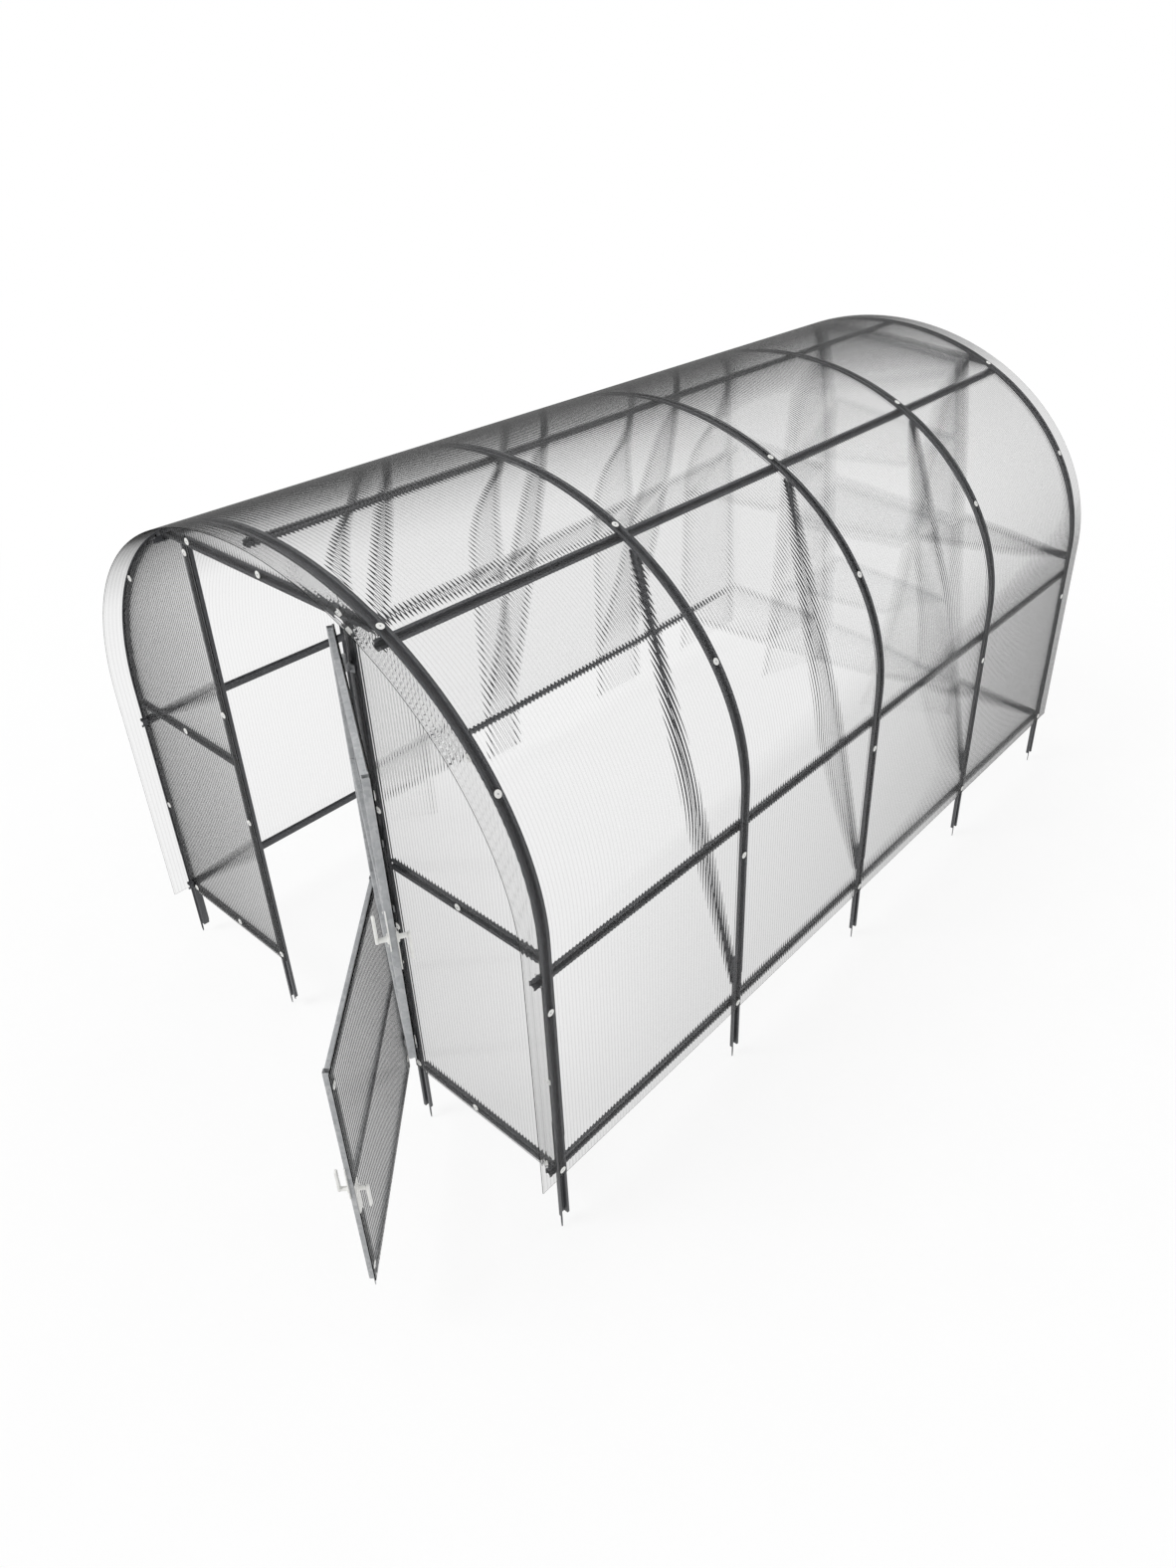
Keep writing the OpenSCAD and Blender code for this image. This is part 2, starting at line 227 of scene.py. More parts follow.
def powder_coated_steel():
    # Polyester powder baked on steel strip: a deep satin grey, faintly pebbled like orange
    # peel, with paler scuffs and a breath of dust that break its reflections up.
    made, tree = new_material("anthracite powder coat on steel")
    place = add(tree, "ShaderNodeTexCoord").outputs["Object"]
    dust = add(tree, "ShaderNodeTexNoise", {"Vector": place, "Scale": 1 / (140 * MM),
                                            "Detail": 4.0, "Roughness": 0.6})
    scuffs = add(tree, "ShaderNodeTexNoise", {"Vector": place, "Scale": 1 / (12 * MM),
                                              "Detail": 3.0, "Roughness": 0.7})
    # Orange peel has pebbles of about 1.5 mm; drawn 5 mm wide so that it shows.
    peel = add(tree, "ShaderNodeTexNoise", {"Vector": place, "Scale": 1 / (5 * MM),
                                            "Detail": 1.0, "Roughness": 0.4})
    both = add(tree, "ShaderNodeMath", {0: dust.outputs["Fac"], 1: scuffs.outputs["Fac"]},
               operation="MULTIPLY").outputs[0]
    colour = add(tree, "ShaderNodeValToRGB", {"Fac": both},
                 [(0.14, "#434447"), (0.27, "#4b4c4f"), (0.42, "#58595c")]).outputs["Color"]
    rough = add(tree, "ShaderNodeMapRange", {"Value": dust.outputs["Fac"], "From Min": 0.3,
                                             "From Max": 0.7, "To Min": 0.36, "To Max": 0.52})
    bump = add(tree, "ShaderNodeBump", {"Height": peel.outputs["Fac"], "Strength": 0.35,
                                        "Distance": 0.4 * MM})
    surface = add(tree, "ShaderNodeBsdfPrincipled", {
        "Base Color": colour, "Roughness": rough.outputs[0], "IOR": 1.5,
        "Normal": bump.outputs[0]})
    add(tree, "ShaderNodeOutputMaterial", {"Surface": surface.outputs[0]})
    return made


anthracite = powder_coated_steel()
STAKE_CHANNEL = CHANNEL_W + 2 * STEEL
stake_plane = half_w - STEEL - 2 * HAIRLINE
for side_name, side in (("left", -1), ("right", 1)):
    bars = []
    for y in arch_y:
        bars += stake(stake_top, STAKE_CHANNEL, Vector((side * stake_plane, y, 0)), Y, -X * side)
    piece("stakes_%s.rolled" % side_name, bars, anthracite, "house",
          ["stakes_" + side_name])


# ---- Arches ----
# Five arches of the same steel, rolled round to the roof curve with the crown inside.
# The legs slip over the stakes and are bolted through; their ends are cut tapered.

ROOF_RISE = 1040
ROOF_STEPS = 96
spring_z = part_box("arch_1")[1].z / MM - ROOF_RISE
arch_foot = stake_top - LAP


def roof_frame(degrees):
    """Point of the outer roof curve and the direction out of the house there."""
    a = math.radians(degrees)
    point = Vector((half_w * math.cos(a), 0, spring_z + ROOF_RISE * math.sin(a)))
    outward = Vector((math.cos(a) / half_w, 0, math.sin(a) / ROOF_RISE)).normalized()
    return point, outward


def arch_path(foot):
    """Points with outward directions up one leg, over the roof and down the other leg."""
    path = [roof_frame(180 * k / ROOF_STEPS) for k in range(ROOF_STEPS + 1)]
    return ([(Vector((half_w, 0, foot)), X)] + path + [(Vector((-half_w, 0, foot)), -X)])


# Each end of an arch is cut back on both flanges: (height above the end, half width).
TAPER = ((0, 13.5), (2, 16.5), (6, 19), (13, 21), (22, BAR_W / 2))


def arch(y):
    path = arch_path(arch_foot)
    ends = [(Vector((half_w, 0, arch_foot + rise)), X, reach) for rise, reach in TAPER]
    ends_left = [(Vector((-half_w, 0, arch_foot + rise)), -X, reach) for rise, reach in TAPER]
    stations = ends + [(p, out, BAR_W / 2) for p, out in path[1:-1]] + ends_left[::-1]
    rings = []
    for point, out, reach in stations:
        start = point + Y * y - out * HAIRLINE
        rings.append([start + Y * max(-reach, min(reach, p[0])) - out * p[1] for p in hat()])
    return skin(rings)


for n, y in enumerate(arch_y, 1):
    piece("arch_%d.rolled" % n, [arch(y)], anthracite, "house",
          ["arch_%d" % n])


# ---- Splice bolts ----
# Each leg is held to its stake by two zinc plated hexagon bolts through the crown, with
# the nut in the channel, so the heads show on the inside of the house.

BOLT_AF = 10              # across the flats of an M6 head
BOLT_WASHER = (6, 1.2)    # radius and thickness
BOLT_INSET = 26           # from either end of the lap


def turned(profile, at, axis, sides=24):
    """Shape turned round an axis: (radius, height) pairs, closed by poles or as a ring."""
    u = axis.orthogonal().normalized()
    v = axis.cross(u)
    ring = [(math.cos(2 * math.pi * k / sides), math.sin(2 * math.pi * k / sides))
            for k in range(sides)]
    is_ring = profile[0][0] > 0.01
    rings = [[at + axis * h + (u * c + v * s) * max(r, 0.01) for c, s in ring]
             for r, h in profile]
    return skin(rings, closed=is_ring)


def hex_bolt(at, axis):
    """Head of an M6 bolt with its chamfer, on a flat washer."""
    wide, thick = BOLT_WASHER
    washer = turned([(0, 0), (wide, 0), (wide, thick), (0, thick)], at, axis)
    r = BOLT_AF / 2 / math.cos(math.pi / 6)
    head = turned([(0, thick), (r, thick), (r, 4.2), (r - 1, 5), (0, 5)], at, axis, sides=6)
    return [washer, head]


def galvanised_steel():
    # Hot-dip zinc on steel: a pale grey metal whose crystals, 8 to 15 mm across, catch
    # the light at different strengths and dull a little where it has weathered.
    made, tree = new_material("galvanised steel")
    place = add(tree, "ShaderNodeTexCoord").outputs["Object"]
    bend = add(tree, "ShaderNodeTexNoise", {"Vector": place, "Scale": 1 / (30 * MM), "Detail": 2.0})
    warped = add(tree, "ShaderNodeVectorMath", {0: bend.outputs["Color"], 1: (6 * MM,) * 3,
                                                2: place}, operation="MULTIPLY_ADD")
    spangle = add(tree, "ShaderNodeTexVoronoi", {"Vector": warped.outputs[0],
                                                 "Scale": 1 / (12 * MM)})
    weather = add(tree, "ShaderNodeTexNoise", {"Vector": place, "Scale": 1 / (200 * MM),
                                               "Detail": 5.0, "Roughness": 0.6})
    tone = add(tree, "ShaderNodeSeparateColor", {"Color": spangle.outputs["Color"]})
    mixed = add(tree, "ShaderNodeMath", {0: tone.outputs[0], 1: 0.45,
                                         2: weather.outputs["Fac"]},
                operation="MULTIPLY_ADD").outputs[0]
    colour = add(tree, "ShaderNodeValToRGB", {"Fac": mixed},
                 [(0.35, "#9a9c9e"), (0.7, "#a8aaac"), (1.0, "#b8b9ba")]).outputs["Color"]
    rough = add(tree, "ShaderNodeMapRange", {"Value": tone.outputs[1], "To Min": 0.36,
                                             "To Max": 0.56})
    bump = add(tree, "ShaderNodeBump", {"Height": tone.outputs[2], "Strength": 0.15,
                                        "Distance": 0.3 * MM})
    surface = add(tree, "ShaderNodeBsdfPrincipled", {
        "Base Color": colour, "Metallic": 0.6, "Roughness": rough.outputs[0],
        "Normal": bump.outputs[0]})
    add(tree, "ShaderNodeOutputMaterial", {"Surface": surface.outputs[0]})
    return made


zinc = galvanised_steel()
bolts = []
for y in arch_y:
    for side in (-1, 1):
        crown = side * (stake_plane - BAR_D)
        for z in (arch_foot + BOLT_INSET, stake_top - BOLT_INSET):
            bolts += hex_bolt(Vector((crown, y, z)), -X * side)
piece("splice_bolts", bolts, zinc, "house")


# ---- Purlins and sills ----
# Hat section bars along the whole house, hung under the arches with the open side out and
# bolted to each: one at the ridge, one at each shoulder, one at each wall and each sill.

SHOULDER = 58             # angle of the shoulder purlins on the roof curve
sill_z = middle("side_sill_right").z
bar_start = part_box("ridge_purlin")[0].y / MM
bar_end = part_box("ridge_purlin")[1].y / MM
BARS = (
    ("ridge_purlin", 90, None, BAR_D + 3 * HAIRLINE),
    ("shoulder_purlin_left", 180 - SHOULDER, None, BAR_D + 3 * HAIRLINE),
    ("shoulder_purlin_right", SHOULDER, None, BAR_D + 3 * HAIRLINE),
    ("side_purlin_left", 180, middle("side_purlin_left").z, BAR_D + 2 * HAIRLINE),
    ("side_purlin_right", 0, middle("side_purlin_right").z, BAR_D + 2 * HAIRLINE),
    ("side_sill_left", 180, sill_z, BAR_D + STEEL + 3 * HAIRLINE),
    ("side_sill_right", 0, sill_z, BAR_D + STEEL + 3 * HAIRLINE),
)
for name, degrees, height, inset in BARS:
    point, out = roof_frame(degrees)
    if height is not None:
        point.z = height
    point -= out * inset
    bar = straight_bar(hat(), point + Y * bar_start, point + Y * bar_end, out.cross(Y), -out)
    piece(name + ".rolled", [bar], anthracite, "house", [name])
    heads = []
    for y in arch_y:
        heads += hex_bolt(point - out * BAR_D + Y * y, -out)
    piece(name + ".bolts", heads, zinc, "house")


# ---- Braces ----
# The three middle arches are stiffened by a strut on each side, of the same section, from
# the shoulder down to the stake; each end is cut to the face that it is bolted against.

BRACE_ANGLE = 54.87       # where a strut meets its arch, as an angle on the roof curve
BRACE_FOOT = 410.4        # height at which it meets the stake
for n in (2, 3, 4):
    struts = []
    for side in (-1, 1):
        point, out = roof_frame(BRACE_ANGLE)
        top = point - out * (BAR_D + 3 * HAIRLINE)
        foot = Vector((stake_plane - BAR_D - HAIRLINE, 0, BRACE_FOOT))
        run = (foot - top).normalized()
        outer = Vector((-run.z, 0, run.x))
        if side < 0:
            flip = Matrix.Diagonal((-1, 1, 1))
            top, foot, outer, out = [flip @ v for v in (top, foot, outer, out)]
        y = Y * arch_y[n - 1]
        struts.append(straight_bar(hat(), top + y, foot + y, Y, outer, out, X))
    piece("brace_pair_%d.rolled" % n, struts, anthracite, "house",
          ["brace_pair_%d" % n])


# ---- End frames ----
# Each end has two posts that run down into the ground like stakes, a head rail between the
# legs of the arch, a mid rail and a sill rail on each side of the doorway.

POST_X = 470              # from the middle of the house to the middle of a post
head_z = middle("front_head_rail").z
END_PLANE = -STAKE_CHANNEL / 2 + HAIRLINE    # where the end frame's flanges lie
mid_rail_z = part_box("front_rails")[1].z / MM - BAR_W / 2
BOLT_EDGE = 14            # from the end of a rail to its bolt


def at_end(end):
    """Places a shape drawn for the front end, or its mirror image at the back end."""
    if end == "front":
        return lambda p: Vector((p.x, arch_y[0] + p.y, p.z))
    return lambda p: Vector((p.x, arch_y[-1] - p.y, p.z))


def rail(x0, x1, z, section, plane, start_cut=None, end_cut=None):
    """Bar across the house in the plane of an end, open side to the front."""
    return straight_bar(section, Vector((x0, plane, z)), Vector((x1, plane, z)), -Z, Y,
                        start_cut, end_cut)


def head_rail():
    """Head rail with its ends cut to the slope of the arch."""
    a = math.degrees(math.asin((head_z - spring_z) / ROOF_RISE))
    point, out = roof_frame(a)
    end = point.x - (BAR_D + 3 * HAIRLINE) / out.x
    left = Vector((-out.x, 0, out.z))
    return rail(-end, end, head_z, hat(), END_PLANE, left, out)


for end in ("front", "back"):
    posts = []
    rails = []
    joints = []
    for side in (-1, 1):
        posts += stake(head_z - BAR_W / 2, CHANNEL_W, Vector((side * POST_X, END_PLANE, 0)),
                       -X * side, Y)
        for z, reach in ((mid_rail_z, half_w - BAR_D - 2 * HAIRLINE),
                         (sill_z, half_w - 2 * BAR_D - STEEL - 4 * HAIRLINE)):
            rails.append(rail(side * (POST_X + BAR_W / 2), side * reach, z, hat(), END_PLANE))
            for x in (POST_X + BAR_W / 2 + BOLT_EDGE, reach - BOLT_EDGE):
                joints += hex_bolt(Vector((side * x, END_PLANE + BAR_D, z)), Y)
        joints += hex_bolt(Vector((side * POST_X, END_PLANE + BAR_D, head_z)), Y)
    place = at_end(end)
    piece(end + "_posts.rolled", posts, anthracite, "house",
          [end + "_posts"], place)
    piece(end + "_rails.rolled", rails, anthracite, "house",
          [end + "_rails"], place)
    piece(end + "_head_rail.rolled", [head_rail()], anthracite, "house",
          [end + "_head_rail"], place)
    piece(end + "_frame_bolts", joints, zinc, "house", (), place)


# ---- End sheets ----
# Twin-wall polycarbonate, extruded with upright flutes: three flat panels close each end
# round the doorway. Cut to the arch and screwed to the frame through washers.

FLUTE = 16                # real flutes are 6 mm wide; these are wider so that they show


def twinwall(name, across, grazing_shade=1.0):
    """Sheet whose flutes lie side by side along across; the last argument scales its painted shade.
    """
    # Clear extruded polycarbonate with a web every 6 mm. Each flute bends light like a
    # small lens, so things close behind look serrated and far ones smear. Towards a low
    # line of sight its tint darkens to a smoky grey: that grey is painted shade.
    made, tree = new_material(name)
    place = add(tree, "ShaderNodeTexCoord").outputs["Object"]
    run = add(tree, "ShaderNodeVectorMath", {0: place, 1: across}, operation="DOT_PRODUCT")
    turn = add(tree, "ShaderNodeMath", {0: run.outputs["Value"], 1: 2 * math.pi / (FLUTE * MM)},
               operation="MULTIPLY").outputs[0]
    wave = add(tree, "ShaderNodeMath", {0: turn}, operation="SINE").outputs[0]
    bump = add(tree, "ShaderNodeBump", {"Height": wave, "Strength": 1.0, "Distance": 0.22 * MM})
    web = add(tree, "ShaderNodeMapRange", {"Value": wave, "From Min": 0.55, "From Max": 1.0,
                                           "To Min": 0.0, "To Max": 1.0})
    # Painted shade: both tints below darken as the line of sight through the sheet gets lower.
    facing = add(tree, "ShaderNodeLayerWeight", {"Blend": 0.5}).outputs["Facing"]
    painted_shade_amount = add(tree, "ShaderNodeMath", {0: facing, 1: grazing_shade}, operation="MULTIPLY").outputs[0]
    clear = add(tree, "ShaderNodeValToRGB", {"Fac": painted_shade_amount},
                [(0.0, "#fcfcfc"), (0.45, "#f8f8f8"), (0.62, "#e2e2e2"),
                 (0.76, "#b6b6b6"), (0.85, "#6c6c6c"), (1.0, "#2e2e2e")]).outputs["Color"]
    webs = add(tree, "ShaderNodeValToRGB", {"Fac": painted_shade_amount},
               [(0.0, "#f6f6f6"), (0.45, "#f2f2f2"), (0.62, "#d6d6d6"),
                (0.76, "#a8a8a8"), (0.85, "#606060"), (1.0, "#262626")]).outputs["Color"]
    tint = add(tree, "ShaderNodeMix", {"Factor": web.outputs[0], "A": clear, "B": webs},
               data_type="RGBA")
    bends = add(tree, "ShaderNodeBsdfRefraction", {
        "Color": tint.outputs["Result"], "Roughness": 0.03, "IOR": 1.58,
        "Normal": bump.outputs[0]})
    mirrors = add(tree, "ShaderNodeBsdfGlossy", {"Roughness": 0.12, "Normal": bump.outputs[0]})
    edge = add(tree, "ShaderNodeFresnel", {"IOR": 1.58, "Normal": bump.outputs[0]})
    # The outer skin is hazed by its UV layer, so it mirrors a quarter of what glass would.
    gloss = add(tree, "ShaderNodeMath", {0: edge.outputs[0], 1: 0.25}, operation="MULTIPLY")
    sheet = add(tree, "ShaderNodeMixShader", {0: gloss.outputs[0], 1: bends.outputs[0],
                                              2: mirrors.outputs[0]})
    # Lamps and soft light pass straight through, as they do through a real roof.
    light = add(tree, "ShaderNodeLightPath").outputs
    passes = add(tree, "ShaderNodeMath", {0: light["Is Shadow Ray"], 1: light["Is Diffuse Ray"]},
                 operation="MAXIMUM")
    through = add(tree, "ShaderNodeBsdfTransparent", {"Color": paint("#f6f6f6")})
    both = add(tree, "ShaderNodeMixShader", {0: passes.outputs[0], 1: sheet.outputs[0],
                                             2: through.outputs[0]})
    add(tree, "ShaderNodeOutputMaterial", {"Surface": both.outputs[0]})
    return made


def finish_node(name, material):
    """Gives a part of the frame its material and leaves its shape alone."""
    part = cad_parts[name]
    part.data.materials.clear()
    part.data.materials.append(material)


end_sheet = twinwall("twin-wall sheet across the ends", X)
for end in ("front", "back"):
    for part in ("panel_left", "panel_right", "panel_top"):
        finish_node(end + "_" + part, end_sheet)


# ---- Roof sheets ----
# Two sheets of the same polycarbonate, sprung over the arches from sill to sill with the
# flutes round the curve. They reach past each end and hang just below the sills.

SHEET_T = 3               # the sheet's 4 mm less 1 mm that is left for its washers
sheet_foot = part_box("roof_sheet_front")[0].z / MM
roof_sheet = twinwall("twin-wall sheet over the roof", Y)
for name in ("roof_sheet_front", "roof_sheet_back"):
    low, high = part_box(name)
    rings = []
    for point, out in arch_path(sheet_foot):
        rings.append([point + out * d + Y * (y / MM) for d, y in (
            (0, low.y), (SHEET_T, low.y), (SHEET_T, high.y), (0, high.y))])
    piece(name + ".sprung", [skin(rings)], roof_sheet, "house", [name])


# ---- Washers ----
# Every fixing through a sheet is a self-drilling screw with a 27 mm white cap washer that
# presses the sheet down on the steel behind it.

WASHER_R = 13.5
ROOF_CAP_H = 1.6          # caps pulled down into the sheet stand low on the roof curve
WALL_CAP_H = 1            # and lower still on the walls
END_CAP_H = 2.5
END_SCREW_H = 2.2


def white_plastic():
    # Moulded polypropylene: bright, slightly warm white with a soft sheen, a little
    # uneven where it has picked up dirt.
    made, tree = new_material("white moulded polypropylene")
    place = add(tree, "ShaderNodeTexCoord").outputs["Object"]
    grime = add(tree, "ShaderNodeTexNoise", {"Vector": place, "Scale": 1 / (20 * MM),
                                             "Detail": 4.0, "Roughness": 0.65})
    colour = add(tree, "ShaderNodeValToRGB", {"Fac": grime.outputs["Fac"]},
                 [(0.25, "#dcdcd8"), (0.5, "#e9e9e6"), (0.8, "#f0f0ee")]).outputs["Color"]
    rough = add(tree, "ShaderNodeMapRange", {"Value": grime.outputs["Fac"], "To Min": 0.45,
                                             "To Max": 0.3})
    # Spark-eroded moulds leave a grain of about 0.3 mm; drawn 1.5 mm so that it shows.
    grain = add(tree, "ShaderNodeTexNoise", {"Vector": place, "Scale": 1 / (1.5 * MM)})
    bump = add(tree, "ShaderNodeBump", {"Height": grain.outputs["Fac"], "Strength": 0.2,
                                        "Distance": 0.2 * MM})
    surface = add(tree, "ShaderNodeBsdfPrincipled", {
        "Base Color": colour, "Roughness": rough.outputs[0], "IOR": 1.49,
        "Normal": bump.outputs[0]})
    add(tree, "ShaderNodeOutputMaterial", {"Surface": surface.outputs[0]})
    return made


white = white_plastic()


def cap_washer(at, axis, height):
    """Domed washer whose rim rests on the sheet."""
    return turned([(0, 0), (WASHER_R, 0), (WASHER_R, 0.4 * height), (WASHER_R - 1, 0.7 * height),
                   (9, height), (4.5, height), (4, 0.8 * height), (0, 0.8 * height)], at, axis)


def screw_head(at, axis, height):
    """Low head of the screw, in the middle of its washer."""
    return turned([(0, 0), (3.4, 0), (3.2, 0.7 * height), (2, height), (0, height)], at, axis,
                  sides=12)


# Down each side of an arch: two on the roof curve, by angle, and two on the wall, by height.
ROOF_FIXINGS = (60, 29)
WALL_FIXING_UP = 778      # from the fixing at the sill to the next one up the arch
WALL_FIXINGS = (sill_z + WALL_FIXING_UP, sill_z)
washers = []
screws = []
for y in arch_y:
    for degrees in ROOF_FIXINGS + tuple(180 - a for a in ROOF_FIXINGS):
        point, out = roof_frame(degrees)
        at = point + out * SHEET_T + Y * y
        washers.append(cap_washer(at, out, ROOF_CAP_H))
        screws.append(screw_head(at + out * 0.5, out, ROOF_CAP_H))
    for side in (-1, 1):
        for z in WALL_FIXINGS:
            at = Vector((side * (half_w + SHEET_T), y, z))
            washers.append(cap_washer(at, X * side, WALL_CAP_H))
            screws.append(screw_head(at, X * side, WALL_CAP_H))
piece("roof_washers", washers, white, "house")
piece("roof_screws", screws, zinc, "house")

# On an end: (distance from the middle, height above the sill), on both sides.
END_FIXINGS = [(0, 1957), (440, 1957), (846, 1010), (478, 1905), (478, 1230), (478, 715),
               (470, 0), (800, 0), (1170, 0)]
# Two more on each side bite into the wall of the arch's channel.
ARCH_INSET = 17           # from the arch's outer face to those two
bite, bite_out = roof_frame(36)
bite -= bite_out * ARCH_INSET
END_FIXINGS += [(bite.x, bite.z - sill_z), (half_w - ARCH_INSET, 460)]
END_SHEET_T = 4
for end in ("front", "back"):
    washers = []
    screws = []
    for x, height in END_FIXINGS:
        for side in (-1, 1) if x else (1,):
            at = Vector((side * x, -STAKE_CHANNEL / 2 - END_SHEET_T, sill_z + height))
            washers.append(cap_washer(at, -Y, END_CAP_H))
            screws.append(screw_head(at - Y, -Y, END_SCREW_H))
    piece(end + "_washers", washers, white, "house", (), at_end(end))
    piece(end + "_screws", screws, zinc, "house", (), at_end(end))


# ---- Hinges ----
# Lift-off hinges of galvanised steel, two to a leaf. The fixed half is a knuckle with its
# pin, welded to a plate that is screwed through the sheet to the door post.

PIN_R = 4
KNUCKLE_R = 7
KNUCKLE_EDGE = 0.8        # chamfer at both ends of a knuckle
HINGE_H = 60              # both knuckles together
HINGE_INSET = 110         # from the end of a leaf to its hinge
HINGE_OFF = 12            # from the hinge axis back to the face of the sheet
PLATE_W = 34
PLATE_T = 4
PLATE_EDGE = 2.5          # from the hinge axis to the near edge of a plate
PLATE_SCREW = 24          # from the hinge axis to the screws
WEB_T = 6                 # the web that joins a knuckle to its plate
LEAF_GAP = 6              # clearance round a shut leaf
LEAF_FOOT = 2             # from the lower edge of the sill rail up to the lower leaf
LEAF_SPLIT = 101          # how far below the roof's spring line the two leaves meet
axis_x = POST_X - BAR_W / 2 - LEAF_GAP / 2
axis_y = -STAKE_CHANNEL / 2 - END_SHEET_T - HINGE_OFF
split_z = spring_z - LEAF_SPLIT
LEAF_Z = {
    "lower": (sill_z - BAR_W / 2 + LEAF_FOOT, split_z - LEAF_GAP),
    "upper": (split_z + LEAF_GAP, head_z - BAR_W / 2 - LEAF_GAP),
}


def hinge_heights(leaf):
    low, high = LEAF_Z[leaf]
    return low + HINGE_INSET, high - HINGE_INSET - HINGE_H


def rounded(width, height, radius, steps=4):
    """Outline of a rectangle with round corners, its lower left corner at 0, 0."""
    outline = []
    for cx, cy, start in ((width - radius, radius, -90), (width - radius, height - radius, 0),
                          (radius, height - radius, 90), (radius, radius, 180)):
        for k in range(steps + 1):
            a = math.radians(start + 90 * k / steps)
            outline.append((cx + radius * math.cos(a), cy + radius * math.sin(a)))
    return outline


def hinge_half(z, height, side):
    """Knuckle, web and screwed plate, drawn round the hinge axis; side is where it reaches."""
    bore = PIN_R + HAIRLINE
    soft = KNUCKLE_EDGE
    knuckle = turned([(bore, 0), (KNUCKLE_R - soft, 0), (KNUCKLE_R, soft),
                      (KNUCKLE_R, height - soft), (KNUCKLE_R - soft, height), (bore, height)],
                     Vector((0, 0, z)), Z, sides=32)
    left = PLATE_EDGE if side > 0 else -PLATE_W
    leaf = plate(rounded(PLATE_W - PLATE_EDGE, height, 4),
                 Vector((left, HINGE_OFF - HAIRLINE, z)), X, Z, PLATE_T, chamfer=0.7)
    web_left = PLATE_EDGE if side > 0 else -PLATE_EDGE - WEB_T
    web = plate(rounded(WEB_T, HINGE_OFF - PLATE_T, 0.6), Vector((web_left, 1, z + 0.5)),
                X, Y, height - 1)
    heads = [turned([(0, 0), (3.6, 0), (3.2, 1.2), (1.8, 2), (0, 2)],
                    Vector((side * PLATE_SCREW, HINGE_OFF - PLATE_T, z + height * k)), -Y, sides=16)
             for k in (0.25, 0.75)]
    return [knuckle, leaf, web] + heads


KNUCKLE_GAP = 1           # between the fixed knuckle and the one that lifts off
half_hinge = (HINGE_H - KNUCKLE_GAP) / 2
for end in ("front", "back"):
    shapes = []
    for z in hinge_heights("lower") + hinge_heights("upper"):
        at = Vector((axis_x, axis_y, 0))
        fixed = hinge_half(z, half_hinge, 1)
        pin = [(0, 0), (PIN_R, 0), (PIN_R, HINGE_H - 1), (PIN_R - 1, HINGE_H), (0, HINGE_H)]
        fixed.append(turned(pin, Vector((0, 0, z)), Z))
        shapes += [([p + at for p in points], sides) for points, sides in fixed]
    piece(end + "_hinges.cast", shapes, zinc, "house", [end + "_hinges"],
          at_end(end))


# ---- Door leaves ----
# A stable door in each end: an upper and a lower leaf. Each has two stiles and three rails
# of smaller galvanised hat section, lapped and screwed, and a sheet of twin-wall in front.

LEAF_BAR_W = 36
LEAF_CHANNEL_W = 20
LEAF_TONGUE = 26          # the free stile of a lower leaf runs on below it in a tongue
RIVET_OFF = 14            # rivets sit this far from the middle of a stile and of a rail
LEAF_FIXING = 60          # from the end of a leaf to the washers on its stiles
# How far each leaf stands open, in degrees.
OPEN = {"front_upper": 150, "front_lower": 134, "back_upper": 0, "back_lower": 0}
leaf_w = 2 * (POST_X - BAR_W / 2 - LEAF_GAP)
leaf_plane = HINGE_OFF + END_SHEET_T + HAIRLINE
hinge_stile = -LEAF_GAP / 2 - LEAF_BAR_W / 2
free_stile = -LEAF_GAP / 2 - leaf_w + LEAF_BAR_W / 2


def hung(end, leaf):
    """Places a shape drawn closed, round the hinge axis, at the angle the leaf stands."""
    turn = Matrix.Rotation(math.radians(OPEN[end + "_" + leaf]), 3, "Z")
    to_end = at_end(end)
    return lambda p: to_end(turn @ p + Vector((axis_x, axis_y, 0)))


def leaf_bars(leaf):
    """Stiles, and rails that lap over the stiles' flanges."""
    low, high = LEAF_Z[leaf]
    section = hat(LEAF_BAR_W, LEAF_CHANNEL_W)
    lapped = hat(LEAF_BAR_W, LEAF_CHANNEL_W, BAR_D - STEEL - HAIRLINE)
    shapes = [straight_bar(section, Vector((x, leaf_plane, low)), Vector((x, leaf_plane, high)),
                           X, Y) for x in (hinge_stile, free_stile)]
    if leaf == "lower":
        shapes.append(tongue(LEAF_TONGUE, LEAF_BAR_W, LEAF_CHANNEL_W,
                             Vector((free_stile, leaf_plane, low)), X, Y))
    reach = LEAF_CHANNEL_W / 2 + HAIRLINE
    for z in (low + LEAF_BAR_W / 2, (low + high) / 2, high - LEAF_BAR_W / 2):
        shapes.append(rail(free_stile + reach, hinge_stile - reach, z, lapped,
                           leaf_plane + STEEL + HAIRLINE))
    return shapes


def leaf_screws(leaf):
    """Rivet heads where each rail laps the stiles."""
    low, high = LEAF_Z[leaf]
    heads = []
    for x in (free_stile + RIVET_OFF, hinge_stile - RIVET_OFF):
        for z in (low + LEAF_BAR_W / 2, (low + high) / 2, high - LEAF_BAR_W / 2):
            for dz in (-RIVET_OFF, RIVET_OFF):
                at = Vector((x, leaf_plane + 2 * STEEL + HAIRLINE, z + dz))
                heads.append(turned([(0, 0), (3.5, 0), (3, 1.2), (1.5, 1.8), (0, 1.8)],
                                    at, Y, sides=16))
    return heads


